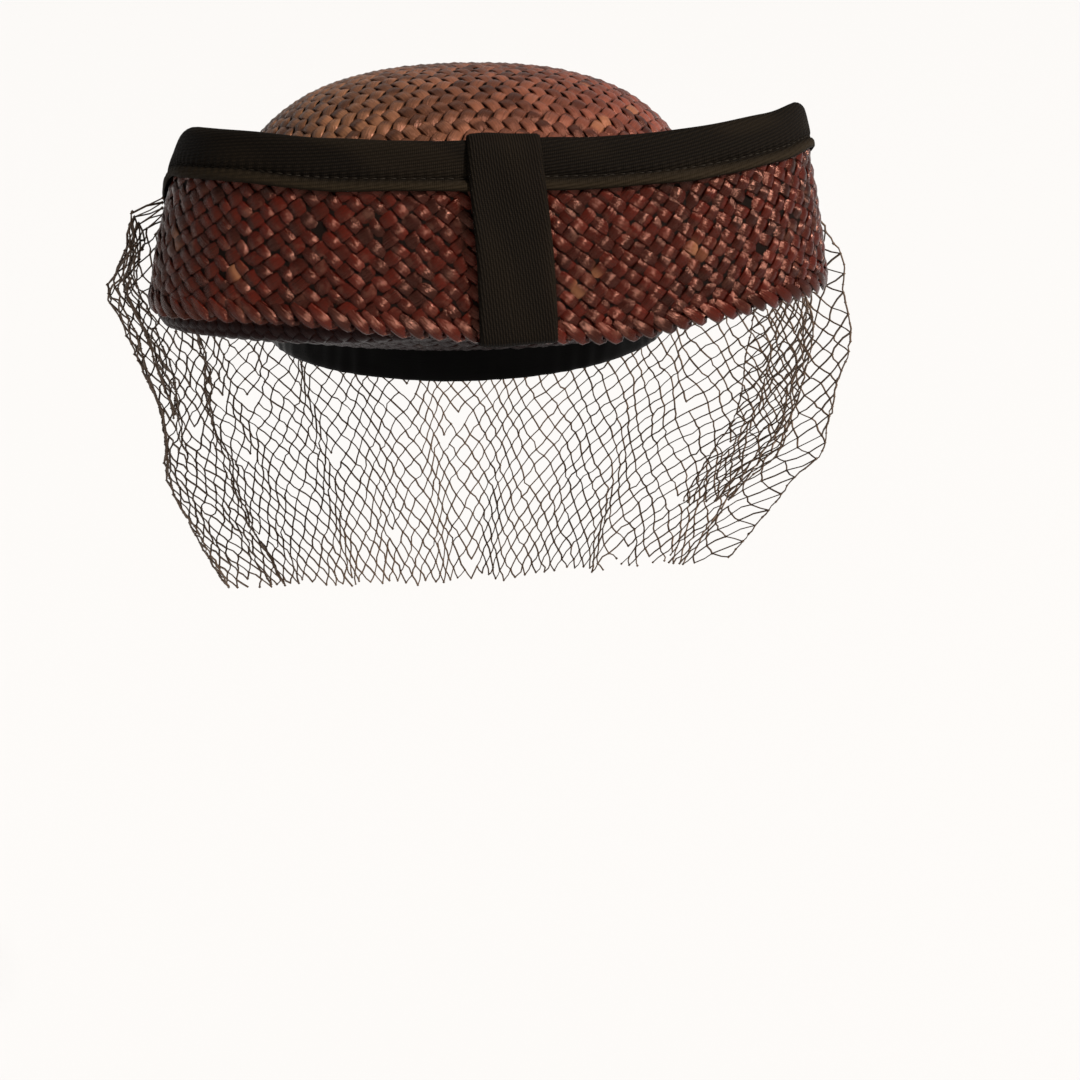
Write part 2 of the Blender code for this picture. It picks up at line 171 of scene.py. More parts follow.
def ease(t):
    t = np.clip(t, 0.0, 1.0)
    return t * t * (3 - 2 * t)


def unit(v):
    return v / np.maximum(np.linalg.norm(v, axis=-1, keepdims=True), 1e-12)


def waves(x, y, seed, count=7, low=0.6, high=2.4):
    """Smooth, repeatable unevenness between about -1 and 1."""
    r = np.random.default_rng(seed)
    total = 0
    for _ in range(count):
        f, a = r.uniform(low, high), r.uniform(0, 2 * math.pi)
        total = total + np.sin(f * (np.cos(a) * x + np.sin(a) * y) + r.uniform(0, 2 * math.pi))
    return total / math.sqrt(count)


def outline(turn, inward=0.0, lean=0.0):
    s, c = np.sin(np.radians(turn)), np.cos(np.radians(turn))
    side = np.where(s > 0, CUFF_LEFT - LEAN_LEFT * lean, CUFF_RIGHT - LEAN_RIGHT * lean)
    corner = np.where(c < 0, 2.0, np.where(s > 0, CORNER_LEFT, CORNER_RIGHT))
    reach = np.where(c > 0, CUFF_BACK - BACK_LEAN * lean, BRIM_FRONT)
    x = np.sign(s) * np.abs(s) ** (2 / corner) * (side - inward)
    y = WIDEST_Y + np.sign(c) * np.abs(c) ** (2 / corner) * (reach - inward)
    return x, y


def cuff_edges(turn):
    low = CUFF_RAISE + CUFF_HEIGHT * read(EDGE_ROWS, 1, turn)
    return low, CUFF_RAISE + CUFF_HEIGHT * (1 + read(EDGE_ROWS, 2, turn))


def fold_height(turn):
    return CUFF_RAISE + STRAW / 2 + CUFF_HEIGHT * read(EDGE_ROWS, 3, turn)


def lip_top(turn):
    return cuff_edges(turn)[0] + LIP_LAP


def lean_at(turn, height):
    return (np.maximum(height - cuff_edges(turn)[0], 0.0) / CUFF_HEIGHT) ** LEAN_POWER


def cuff_wall(turn, height):
    """The middle of the cuff's wall."""
    turn, height = np.broadcast_arrays(turn, height)
    return np.stack([*outline(turn, 0.0, lean_at(turn, height)), height], -1)


def crown_wall(heading, share):
    """The middle of the crown's wall at a compass heading from each ring's middle."""
    width = CROWN_WIDTH / 2 * np.maximum(read(CROWN_ROWS, 1, share), 0)
    length = CROWN_LENGTH / 2 * np.maximum(read(CROWN_ROWS, 2, share), 0)
    middle = CROWN_LENGTH / 2 * read(CROWN_ROWS, 3, share)
    s, c = np.sin(heading), np.cos(heading)
    reach = width * length / np.maximum(np.hypot(s * length, c * width), 1e-9)
    return np.stack(np.broadcast_arrays(reach * s, middle + reach * c, CROWN_HEIGHT * share), -1)


# Surfaces that strands and cloth follow

def grid_normals(points, flip=False, closed=False):
    """The normal at each point of a grid; columns first, then rows."""
    along = np.roll(points, -1, 0) - np.roll(points, 1, 0) if closed else np.gradient(points, axis=0)
    normal = unit(np.cross(along, np.gradient(points, axis=1)))
    return -normal if flip else normal


class Surface:
    """A grid of points, closed round the hat, that is read anywhere between them with its normal."""

    def __init__(self, columns, flip=False):
        self.points = np.asarray(columns, float)
        self.normals = grid_normals(self.points, flip, closed=True)

    def at(self, a, b, out=0.0):
        """Points at shares a round the columns and b down the rows, moved out along the normal."""
        columns, rows = self.points.shape[:2]
        a, b, out = np.broadcast_arrays(a, b, out)
        x, y = (a % 1.0) * columns, np.clip(b, 0, 1) * (rows - 1)
        i, j = np.floor(x).astype(int), np.minimum(np.floor(y).astype(int), rows - 2)
        u, v = (x - i)[..., None], (y - j)[..., None]
        i = i % columns
        k = (i + 1) % columns

        def mix(grid):
            upper = grid[i, j] * (1 - u) + grid[k, j] * u
            lower = grid[i, j + 1] * (1 - u) + grid[k, j + 1] * u
            return upper * (1 - v) + lower * v

        normal = unit(mix(self.normals))
        return mix(self.points) + normal * out[..., None], normal


def lengths_along(points):
    """Distance along a row of points from its first, as an array."""
    return np.concatenate([[0], np.cumsum(np.linalg.norm(np.diff(points, axis=0), axis=1))])


def at_lengths(at, far, points):
    """Points of a path at the lengths at, where far has the lengths of its own points."""
    return np.stack([np.interp(at, far, column) for column in points.T], 1)


def even(points, count):
    """The same path with evenly spaced points."""
    far = lengths_along(points)
    return at_lengths(np.linspace(0, far[-1], count), far, points)


cuff_turns = np.linspace(-CUFF_END_TURN, CUFF_END_TURN, 1201)
cuff_far = lengths_along(cuff_wall(cuff_turns, CUFF_RAISE + 0.4 * CUFF_HEIGHT))
cuff_far = np.interp(0, cuff_turns, cuff_far) - cuff_far
half_span = float(cuff_far[0])


def turn_of(u):
    """The turn at a distance along the cuff from its middle, positive to the wearer's right."""
    return np.interp(-u, -cuff_far, cuff_turns)


def on_cuff(turn, height, out=0.0):
    """A point on the cuff's wall moved out along its normal, and the normal."""
    along = cuff_wall(turn + 0.4, height) - cuff_wall(turn - 0.4, height)
    rise = cuff_wall(turn, height + 0.0005) - cuff_wall(turn, height - 0.0005)
    normal = unit(np.cross(rise, along))
    return cuff_wall(turn, height) + normal * np.asarray(out)[..., None], normal


def dome_surface():
    headings = np.linspace(0, 2 * math.pi, 360, endpoint=False)
    shares = np.sin(np.linspace(0.5, 0, 160) * math.pi)
    columns = [even(crown_wall(h, shares), 110) for h in headings]
    return Surface(columns)


def brim_surface():
    """From the crown's base out to the fold and up the lip, as an even grid round the hat."""
    turns = np.linspace(-180, 180, 480, endpoint=False)
    columns, lengths = [], []
    for turn in turns:
        edge = np.array(outline(turn, LIP_SET_IN), float)
        heading = math.atan2(edge[0], edge[1])
        base = crown_wall(heading, 0.0)
        out = np.array([math.sin(heading), math.cos(heading)])
        fold = float(fold_height(turn))
        width = np.linalg.norm(edge) - np.linalg.norm(base[:2]) - FOLD_RADIUS
        share = np.linspace(0, 0.88, 18)
        rise = read(BRIM_ROWS, 1, share)
        points = [[*(base[:2] + out * width * a), fold * r] for a, r in zip(share, rise)]
        for angle in np.linspace(20, 90, 8):
            a = math.radians(angle)
            height = fold + (1 - math.cos(a)) * FOLD_RADIUS
            x, y = outline(turn, LIP_SET_IN, lean_at(turn, height))
            short = out * (1 - math.sin(a)) * FOLD_RADIUS
            points.append([x - short[0], y - short[1], height])
        for height in np.linspace(fold + FOLD_RADIUS, float(lip_top(turn)), 6)[1:]:
            points.append([*outline(turn, LIP_SET_IN, lean_at(turn, height)), height])
        points = np.array(points, float)
        lengths.append(lengths_along(points)[-1])
        columns.append(even(points, 60))
    return Surface(columns, flip=True), turns, np.array(lengths)


def veil_place(across, down):
    """A point of the veil: across from 0 at the left end to 1 at the right, down from 0 to 1."""
    turn = VEIL_TURN + (360 - 2 * VEIL_TURN) * across
    turn = np.where(turn <= 180, turn, turn - 360)
    sewn = cuff_edges(turn)[1] - TAPE_DEPTH - VEIL_BELOW_TAPE
    past = ease((np.abs(turn) - CUFF_END_TURN) / VEIL_SETTLE)
    top = sewn + (lip_top(turn) - sewn) * past
    on_wall, on_lip = STRAW / 2 + VEIL_STAND, STRAW / 2 - LIP_SET_IN + VEIL_OFF_LIP
    x, y = outline(turn, -(on_wall + (on_lip - on_wall) * past), lean_at(turn, top))
    front = np.sin(np.pi * across) ** VEIL_ROUND
    bottom = -(VEIL_SIDE_DROP + (VEIL_FRONT_DROP - VEIL_SIDE_DROP) * front)
    z = top + (bottom - top) * down
    share = z / VEIL_FRONT_DROP
    left, right = read(VEIL_ROWS, 1, share), read(VEIL_ROWS, 2, share)
    nearer, farther = np.where(across < 0.5, left, right), np.where(across < 0.5, right, left)
    half = nearer + (farther - nearer) / 2 * ease(1 - np.abs(2 * across - 1))
    back, reach = VEIL_BACK_Y * read(VEIL_ROWS, 4, share), VEIL_REACH * read(VEIL_ROWS, 3, share)
    bend = np.radians(90 + 180 * across)
    away = ease((top - z) / VEIL_SPREAD)
    flute = 0.0030 * np.sin(2 * np.pi * 6 * across) * away
    out = half * VEIL_WIDTH / 2 + flute
    target = np.stack([np.sin(bend) * out, back + np.cos(bend) * (back + reach + flute), z], -1)
    start = np.stack([x, y, z], -1)
    return start + (target - start) * away[..., None]


# Making meshes

def put(name, data):
    """A new object in the scene."""
    o = bpy.data.objects.new(name, data)
    bpy.context.scene.collection.objects.link(o)
    return o


class Build:
    """Collects points, faces, map coordinates in millimetres and a shade value for each point."""

    def __init__(self):
        self.points, self.faces, self.maps, self.shades, self.slots, self.count = [], [], [], [], [], 0

    def add(self, points, faces, maps, shades, slot=0):
        points = np.asarray(points, float).reshape(-1, 3)
        self.points.append(points)
        self.maps.append(np.asarray(maps, float).reshape(-1, 2))
        self.shades.append(np.broadcast_to(np.asarray(shades, float), (len(points), 3)))
        faces = np.asarray(faces) + self.count
        self.faces += faces.tolist()
        self.slots += [slot] * len(faces)
        self.count += len(points)

    def piece(self, name, materials):
        mesh = bpy.data.meshes.new(name)
        mesh.from_pydata(np.concatenate(self.points).tolist(), [], self.faces)
        maps = np.concatenate(self.maps)
        loops = np.empty(len(mesh.loops), np.int32)
        mesh.loops.foreach_get("vertex_index", loops)
        mesh.uv_layers.new(name="cloth").data.foreach_set("uv", maps[loops].astype(np.float32).ravel())
        shades = np.concatenate(self.shades)
        shade = mesh.color_attributes.new(name="shade", type="FLOAT_COLOR", domain="POINT")
        full = np.concatenate([shades, np.ones((len(shades), 1))], 1)
        shade.data.foreach_set("color", full.astype(np.float32).ravel())
        for m in materials:
            mesh.materials.append(m)
        mesh.polygons.foreach_set("material_index", np.array(self.slots, np.int32))
        mesh.polygons.foreach_set("use_smooth", np.full(len(mesh.polygons), True))
        mesh.update()
        o = put(name, mesh)
        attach(o, "root")
        return o


def tube_faces(stations, ring):
    """Quads of a tube along its stations, open at both ends."""
    return [
        (s * ring + k, s * ring + (k + 1) % ring, (s + 1) * ring + (k + 1) % ring, (s + 1) * ring + k)
        for s in range(stations - 1)
        for k in range(ring)
    ]


# Sections of a straw and of a thread, as shares of half their width and thickness
STRAW_RING = np.array([(-1.0, -0.25), (-0.76, 0.52), (-0.05, 1.0), (0.76, 0.52), (1.0, -0.25), (0.0, -0.45)])
THREAD_RING = np.array([(-1.0, 0.0), (0.0, 1.0), (1.0, 0.0), (0.0, -1.0)])


def side_of(points, normals):
    """Directions across a strand, in the surface that it lies on."""
    return unit(np.cross(normals, unit(np.gradient(points, axis=0))))


def add_strand(build, middle, normal, side, half, thick, far, shade, ring=STRAW_RING):
    """A strand along its middle line, with half widths, thicknesses and shades at its points."""
    points = (
        middle[:, None, :]
        + side[:, None, :] * ring[None, :, 0, None] * half[:, None, None]
        + normal[:, None, :] * ring[None, :, 1, None] * thick[:, None, None]
    )
    maps = np.stack(np.broadcast_arrays(far[:, None] * 1000, ring[None, :, 0] * half[:, None] * 1000), -1)
    shades = np.repeat(shade[:, None, :], len(ring), 1).reshape(-1, 3)
    build.add(points, tube_faces(len(middle), len(ring)), maps, shades)


def grid_faces(columns, rows, closed=False):
    last = columns if closed else columns - 1
    return [
        (i * rows + j, (i + 1) % columns * rows + j, (i + 1) % columns * rows + j + 1, i * rows + j + 1)
        for i in range(last)
        for j in range(rows - 1)
    ]


def add_cloth(build, points, normals, thick, maps, shades, closed=False, slot=0):
    """A sheet with a thickness, from a grid of points on its middle."""
    columns, rows = points.shape[:2]
    top = points + normals * thick / 2
    under = points - normals * thick / 2
    n = columns * rows
    faces = grid_faces(columns, rows, closed)
    back = [tuple(v + n for v in reversed(f)) for f in faces]
    rim = []
    for i in range(columns if closed else columns - 1):
        first, beside = i * rows, (i + 1) % columns * rows
        last, beside_last = first + rows - 1, beside + rows - 1
        rim.append((first, first + n, beside + n, beside))
        rim.append((beside_last, beside_last + n, last + n, last))
    if not closed:
        e = (columns - 1) * rows
        for j in range(rows - 1):
            rim.append((j + 1, j + 1 + n, j + n, j))
            rim.append((e + j, e + j + n, e + j + 1 + n, e + j + 1))
    build.add(
        np.concatenate([top.reshape(-1, 3), under.reshape(-1, 3)]),
        faces + back + rim,
        np.concatenate([maps.reshape(-1, 2)] * 2),
        np.concatenate([shades.reshape(-1, 3)] * 2),
        slot,
    )


def add_ground(build, points, normals, closed=False):
    """Painted shade: a near-black sheet behind the strands, so that no light comes through between them and
    the gaps read dark.
    """
    maps = np.zeros(points.shape[:2] + (2,))
    add_cloth(build, points, normals, SHADE_SHEET_CLOTH, maps, np.zeros(points.shape), closed, slot=1)


# Straw: the cuff

CUFF_MARGIN, TAPE_MARGIN = 0.0012, 0.0035
HEM_PITCH, HEM_SLANT, HEM_DROP, HEM_HALF, HEM_THICK = 0.0058, 0.0072, 0.0060, 0.0021, 0.0005

# Worn places on the cuff, in metres: along it, height, reach
CHIPS = (
    (-0.118, 0.040, 0.0024), (-0.090, 0.032, 0.0020), (0.064, 0.037, 0.0026), (0.022, 0.026, 0.0018),
    (0.028, 0.031, 0.0016),
)
BREAKS = ((0.089, 0.0375, 0.0030), (0.084, 0.0520, 0.0022), (-0.062, 0.047, 0.0018))

cuff_places = np.linspace(-0.235, 0.235, 941)


def climb(column):
    """Height that a strand with the table's slopes gains along the cuff, from its middle."""
    slopes = read(WEAVE_ROWS, column, (cuff_places[1:] + cuff_places[:-1]) / 2)
    total = np.concatenate([[0], np.cumsum(slopes * np.diff(cuff_places))])
    return total - np.interp(0, cuff_places, total)


fall, rise = climb(1), climb(2)
apart = rise - fall


def near(places, u, z):
    """How near a place is to the worn ones, from 0 to 1."""
    return np.clip(sum(np.exp(-(((u - a) ** 2 + (z - b) ** 2) / r**2)) for a, b, r in places), 0, 1)


def cuff_tone(u, z):
    """How much painted sheen lies on the straw at a place on the cuff, a greyer brown towards its left end,
    and how pale the straw is, from 0 to 1 each.
    """
    return ease((-u - 0.075) / 0.075), near(CHIPS, u, z)


def runs_of(kept, shortest):
    """Unbroken runs of kept places, as arrays of their numbers."""
    runs = np.split(np.arange(len(kept)), np.where(np.diff(kept.astype(int)) != 0)[0] + 1)
    return [run for run in runs if len(run) >= shortest and kept[run[0]]]


def weave_cuff(build):
    """Two sets of strands over and under each other. The first goes down to the right, the second up."""
    falling, rising = CUFF_PITCH
    for kind, own, pitch, sign in ((0, fall, falling, 1), (1, rise, rising, -1)):
        slopes = np.gradient(own, cuff_places)
        lowest, highest = -0.004 - own.max(), 0.086 - own.min()
        for k in range(int(lowest / pitch) - 1, int(highest / pitch) + 2):
            # Where this strand crosses the others, counted in cells
            crossings = (apart + rising * k) / falling if kind else (falling * k - apart) / rising
            order = np.argsort(crossings)
            first, last = math.ceil(crossings.min() * PER_CELL), math.floor(crossings.max() * PER_CELL)
            c = np.arange(first, last + 1) / PER_CELL
            u = np.interp(c, crossings[order], cuff_places[order])
            z = np.interp(u, cuff_places, own) + pitch * k
            low, high = cuff_edges(turn_of(u))
            whole = near(BREAKS, u, z) < 0.4 if kind else np.ones(len(u), bool)
            inside = (z > low + CUFF_MARGIN) & (z < high - TAPE_MARGIN) & (np.abs(u) < half_span - CUFF_MARGIN)
            cells = len(c) // PER_CELL + 3
            puff = rng.normal(0, 1, cells)
            tint = rng.uniform(0, 1, cells)
            for run in runs_of(whole & inside, 4):
                cc, uu, zz = c[run], u[run], z[run]
                passed = cc - first / PER_CELL
                cell = np.clip(np.round(passed).astype(int), 0, cells - 1)
                uneven = np.interp(passed, np.arange(cells), puff)
                over = sign * np.cos(math.pi * (cc + k))
                lift = (CUFF_LIFT + CUFF_LIFT_VARIES * uneven) * over
                lift = lift + CUFF_LIFT_WANDERS * waves(uu * 90 + kind * 9, zz * 90, 11 + kind)
                spacing = pitch * np.cos(np.arctan(np.interp(uu, cuff_places, slopes)))
                drift = 0.00042 * waves(uu * 150, zz * 150 + 31 * kind, 21 + kind)
                p, n = on_cuff(turn_of(uu + drift), zz + drift * 0.6, lift)
                side = side_of(p, n)
                tip = 0.16 * waves(uu * 260 + 7 * kind, zz * 260, 23 + kind)
                n, side = unit(n + side * tip[:, None]), unit(side - n * tip[:, None])
                half = spacing * (CUFF_HALF_SHARE + CUFF_HALF_GAIN * over) * (1 + 0.05 * uneven)
                thick = CUFF_THIN + CUFF_GAIN * (0.5 + 0.5 * over)
                # The second number is the painted sheen towards the cuff's left end.
                left_sheen, chip = cuff_tone(uu, zz)
                shade = np.stack([tint[cell], 0.6 * left_sheen, chip], 1)
                add_strand(build, p, n, side, half, thick, lengths_along(p) + rng.uniform(0, 1), shade)


def cuff_ground(build):
    turns = np.linspace(-CUFF_END_TURN, CUFF_END_TURN, 161)
    low, high = cuff_edges(turns)
    low, high = low + 0.001, high - 0.0015
    heights = low[:, None] + (high - low)[:, None] * np.linspace(0, 1, 9)
    # A near-black sheet behind the cuff's strands: painted shade in the gaps.
    add_ground(build, *on_cuff(turns[:, None], heights))


def hem_cuff(build):
    """The cuff's lower edge: long slanted strands that turn in under it like a rope."""
    t = np.linspace(0, 1, 12)
    reach = np.clip(t / 0.72, 0, 1)
    for k in range(-1, int(2 * half_span / HEM_PITCH) + 1):
        start = -half_span + HEM_PITCH * k + rng.normal(0, 0.0004)
        u = start + HEM_SLANT * reach + 0.002 * np.clip((t - 0.72) / 0.28, 0, 1)
        if u[0] < -half_span or u[-1] > half_span:
            continue
        turn = turn_of(u)
        low, _ = cuff_edges(turn)
        z = low + 0.0003 + HEM_DROP * (1 - reach) ** 1.1 + 0.004 * np.clip((t - 0.86) / 0.14, 0, 1)
        out = 0.0012 * np.sin(np.pi * np.clip(t / 0.72 * 0.7 + 0.12, 0, 1)) - 0.0024 * ease((t - 0.66) / 0.34)
        p, n = on_cuff(turn, z, out)
        half = HEM_HALF * np.sin(np.pi * (0.10 + 0.80 * t)) ** 0.5 * (1 + rng.normal(0, 0.05))
        thick = np.full(len(t), HEM_THICK)
        # The second number is the painted sheen towards the cuff's left end.
        left_sheen, chip = cuff_tone(u, z)
        shade = np.stack([np.full(len(t), rng.uniform(0, 1)), 0.55 * left_sheen, chip], 1)
        add_strand(build, p, n, side_of(p, n), half, thick, lengths_along(p) + rng.uniform(0, 1), shade)


# Straw: the crown's dome and its brim

def crown_tone(p, tint):
    """Shades of the crown's straws: their own tint, how far left they lie, which blends a tan painted sheen on
    the left into the pinkish straw on the right, and the few pale ones.
    """
    return np.stack([tint, ease((0.085 - p[:, 0]) / 0.17), 0.8 * (tint > 0.985)], 1)


def interlace(build, surface, place, spots, amp, half_of):
    """Strands over and under each other on a surface. place gives shares from lattice numbers."""
    for kind in (0, 1):
        sign = 1 if kind == 0 else -1
        for k, c in spots(kind):
            i, j = (c, np.full_like(c, k)) if kind == 0 else (np.full_like(c, k), c)
            over = sign * np.cos(math.pi * (c + k))
            a, b, kept = place(i, j)
            lift = amp * over + 0.10 * amp * waves(i * 0.9 + kind * 5, j * 0.9, 41 + kind)
            p, n = surface.at(a, b, lift)
            side, half = side_of(p, n), half_of(i, j, over)
            tint = rng.uniform(0, 1, len(c) // PER_CELL + 3)
            cell = np.clip(np.round(c - c[0]).astype(int), 0, len(tint) - 1)
            shade = crown_tone(p, tint[cell])
            thick = CROWN_THIN + CROWN_GAIN * (0.5 + 0.5 * over)
            far = lengths_along(p) + rng.uniform(0, 1)
            for run in runs_of(kept, 3):
                add_strand(build, p[run], n[run], side[run], half[run], thick[run], far[run], shade[run])


def weave_dome(build):
    """The flat weave of a disc, laid over the dome from its top."""
    surface = dome_surface()
    dx, dy = DOME_CELL
    reach = 0.86 * float(np.mean([lengths_along(column)[-1] for column in surface.points[::30]]))

    def flat(i, j):
        return (i + j) * dx, (i - j) * dy

    def spots(kind):
        span = int(reach / min(dx, dy)) * 2
        c = np.arange(-span * PER_CELL, span * PER_CELL + 1) / PER_CELL
        for k in range(-span, span + 1):
            place = flat(c, k) if kind == 0 else flat(k, c)
            keep = np.where(np.hypot(*place) < reach + 0.004)[0]
            if len(keep) > 6:
                yield k, c[keep[0]:keep[-1] + 1]

    def place(i, j):
        x, y = flat(i, j)
        r = np.hypot(x, y) / reach
        return np.arctan2(x, y) / (2 * math.pi), 0.93 * r**0.94 + 0.07 * r**3, r < 1.0

    def half_of(i, j, over):
        r = np.hypot(*flat(i, j)) / reach
        return (DOME_HALF + DOME_HALF_GAIN * over) * (1 + DOME_SPREAD * r)

    interlace(build, surface, place, spots, DOME_LIFT, half_of)
    a, b = np.meshgrid(np.linspace(0, 1, 121)[:-1], np.linspace(0.004, 1, 30), indexing="ij")
    # A near-black sheet under the dome's strands: painted shade in the gaps.
    add_ground(build, *surface.at(a, b, -0.0001), closed=True)


def weave_brim(build):
    """Strands that run in slantwise from the lip's top to the crown's base."""
    surface, turns, lengths = brim_surface()
    shares, widths = np.append((turns + 180) / 360, 1.0), np.append(lengths, lengths[0])
    steps = np.arange(int(lengths.max() / BRIM_CELL_DEPTH * PER_CELL) + PER_CELL) / PER_CELL

    def spots(kind):
        for k in range(BRIM_CELLS):
            yield k, k + steps if kind == 0 else k - steps

    def place(i, j):
        a = (i + j) / 2 / BRIM_CELLS
        far = np.abs(i - j) * BRIM_CELL_DEPTH
        width = np.interp(a % 1.0, shares, widths)
        return a, 1 - far / width, far < width

    def half_of(i, j, over):
        return BRIM_HALF + BRIM_HALF_GAIN * over

    interlace(build, surface, place, spots, BRIM_LIFT, half_of)
    a, b = np.meshgrid(np.linspace(0, 1, 145)[:-1], np.linspace(0, 1, 24), indexing="ij")
    # A near-black sheet under the brim's strands: painted shade in the gaps.
    add_ground(build, *surface.at(a, b), closed=True)


# Cloth: binding, tab and head band

TAPE_SHEET, TAB_SHEET, BAND_SHEET = 0.0007, 0.0008, 0.0008
STITCH_PITCH, STITCH_LENGTH, STITCH_HALF, STITCH_ROW, GROOVE_ROW = 0.0031, 0.0021, 0.00021, 0.0048, 0.0052
BAND_MAP_RADIUS = 0.092


def soft_path(section, rounds, count):
    """A path through rows that end in (out, down), rounded by halving and evenly divided."""
    path = np.array(section, float)
    for _ in range(rounds):
        middle = (path[1:] + path[:-1]) / 2
        halves = np.stack([(path[:-1] + middle) / 2, (middle + path[1:]) / 2], 1)
        path = np.concatenate([path[:1], halves.reshape(-1, path.shape[1]), path[-1:]])
    far = lengths_along(path[:, -2:])
    at = np.linspace(0, far[-1], count)
    return at_lengths(at, far, path), at


def make_binding(materials):
    stand = STRAW / 2 + TAPE_SLACK + TAPE_CLOTH / 2
    section = [
        (stand + 0.25 * MM, TAPE_DEPTH),
        (stand + 0.85 * MM, 13.5 * MM),
        (stand + 1.0 * MM, 12.2 * MM),
        (stand + 1.0 * MM, 11.0 * MM),
        (stand - 0.45 * MM, 10.3 * MM),
        (stand - 0.30 * MM, 9.7 * MM),
        (stand + 0.5 * MM, 8.6 * MM),
        (stand + 0.75 * MM, 6.0 * MM),
        (stand + 0.75 * MM, 2.5 * MM),
        (stand + 0.45 * MM, -0.6 * MM),
        (0.0, -stand - 0.5 * MM),
        (-stand - 0.2 * MM, -0.6 * MM),
        (-stand - 0.1 * MM, 4.0 * MM),
        (-stand, TAPE_INSIDE),
    ]
    path, across = soft_path(section, 3, 44)
    turn = np.linspace(-CUFF_END_TURN, CUFF_END_TURN, 641)
    points = on_cuff(turn[:, None], cuff_edges(turn)[1][:, None] - path[:, 1], path[:, 0])[0]
    n = grid_normals(points, flip=True)
    far = lengths_along(points[:, 8])
    total = far[-1]
    grid_far, grid_across = np.meshgrid(far, across, indexing="ij")
    groove = np.exp(-(((grid_across - GROOVE_ROW) / 0.003) ** 2))
    pulls = np.sin(grid_far / STITCH_PITCH * 2 * math.pi + waves(grid_far * 80, grid_across * 0, 51))
    puckers = 0.00016 * groove * pulls
    sag = 0.00022 * waves(grid_far * 55, grid_across * 160, 52)
    sag = sag + 0.00012 * waves(grid_far * 160, grid_across * 260, 53)
    points = points + n * (puckers + sag)[..., None]
    edge = 0.0004 * waves(far * 70, far * 0, 54)
    points[..., 2] += edge[:, None] * np.clip(1 - grid_across / 0.004, 0, 1)
    n = grid_normals(points, flip=True)
    maps = np.stack([grid_far, grid_across], -1) * 1000
    worn = 0.5 + 0.5 * waves(grid_far * 60, grid_across * 200, 55)
    # Painted highlight: a lighter band along the tape's lower lip, where it rolls out and catches the light.
    lip = np.clip(1 - np.abs(grid_across - 0.0015) / 0.0025, 0, 1)
    build = Build()
    add_cloth(build, points, n, TAPE_SHEET, maps, np.stack([worn, lip, worn], -1))
    o = build.piece("edge_binding_twill", [materials["tape"]])
    # Stitches along the groove
    threads = Build()
    row = int(np.argmin(np.abs(across - STITCH_ROW)))
    t = np.linspace(0, 1, 5)
    half = np.full(len(t), STITCH_HALF)
    for k in range(int(total / STITCH_PITCH)):
        at = 0.0015 + k * STITCH_PITCH + rng.normal(0, 0.0002) + STITCH_LENGTH * t
        if at[-1] > total:
            continue
        p, nn = at_lengths(at, far, points[:, row]), unit(at_lengths(at, far, n[:, row]))
        p = p + nn * (0.00040 + 0.00022 * np.sin(np.pi * t) - 0.0003 * (np.abs(t - 0.5) > 0.4))[:, None]
        shade = np.full((len(t), 3), rng.uniform(0.2, 0.8))
        add_strand(threads, p, nn, side_of(p, nn), half, half, lengths_along(p), shade, ring=THREAD_RING)
    stitches = threads.piece("edge_binding_stitches", [materials["thread"]])
    return o, stitches


def make_tab(materials):
    """The tab's middle line is worked out at its middle, then its width is laid along the cuff."""
    low, high = [float(v) for v in cuff_edges(0.0)]
    tall = high - low
    inside = STRAW / 2 + 2 * CLEARANCE + TAPE_CLOTH + TAB_CLOTH / 2
    under = high - min(float(fold_height(0.0)) - STRAW / 2, low) + 2 * CLEARANCE + TAB_CLOTH / 2
    # Share of the lean to the right, distance out of the cuff's wall, distance down from its top
    section = [
        (0.0, -inside - 0.2 * MM, TAB_INSIDE),
        (0.0, -inside - 0.2 * MM, 0.5 * TAB_INSIDE),
        (0.0, -inside - 0.3 * MM, 1.0 * MM),
        (0.0, -inside * 0.7, -2.2 * MM),
        (0.0, 0.0, -inside - 1.1 * MM),
        (0.0, inside * 0.75, -2.3 * MM),
        (0.0, inside + 0.95 * MM, 0.5 * MM),
        (0.10, inside + 1.1 * MM, 0.10 * tall),
        (0.30, inside + 1.1 * MM, 0.24 * tall),
        (0.60, inside + 0.8 * MM, 0.42 * tall),
        (0.83, inside + 0.5 * MM, 0.60 * tall),
        (0.93, inside + 0.5 * MM, 0.80 * tall),
        (1.0, inside + 0.6 * MM, 0.99 * tall),
        (1.0, inside * 0.75, under - 0.2 * MM),
        (1.0, 0.0, under + 0.1 * MM),
    ]
    path, at = soft_path(section, 2, 84)
    share = np.linspace(-0.5, 0.5, 25)
    turns = np.linspace(-30, 30, 241)
    sides = outline(turns)[0]
    points = np.empty((len(share), len(path), 3))
    for k, (lean, out, down) in enumerate(path):
        width = TAB_WIDTH + (TAB_WIDTH_LOW - TAB_WIDTH) * lean
        x = TAB_TOP_X + (TAB_LOWER_X - TAB_TOP_X) * lean + width * share
        points[:, k] = on_cuff(np.interp(x, sides, turns), high - down, out)[0]
    steps = np.arange(1, 7) / 6
    tail = np.repeat(points[:, -1:], len(steps), 1)
    tail[..., 1] -= TAB_UNDER * steps
    points = np.concatenate([points, tail], 1)

    def outward(grid):
        n = grid_normals(grid)
        return -n if n[12, 40, 1] < 0 else n

    s, d = np.meshgrid(share, np.append(at, at[-1] + TAB_UNDER * steps), indexing="ij")
    ripple = 0.00025 * waves(s * 5, d * 120, 61) - 0.0005 * (np.abs(s) > 0.46)
    points = points + outward(points) * ripple[..., None]
    maps = np.stack([s * TAB_WIDTH, d], -1) * 1000
    worn = 0.5 + 0.5 * waves(s * 6, d * 70, 62)
    build = Build()
    add_cloth(build, points, outward(points), TAB_SHEET, maps, np.stack([worn, worn * 0, worn], -1))
    o = build.piece("back_tab_twill", [materials["tab"]])
    return o


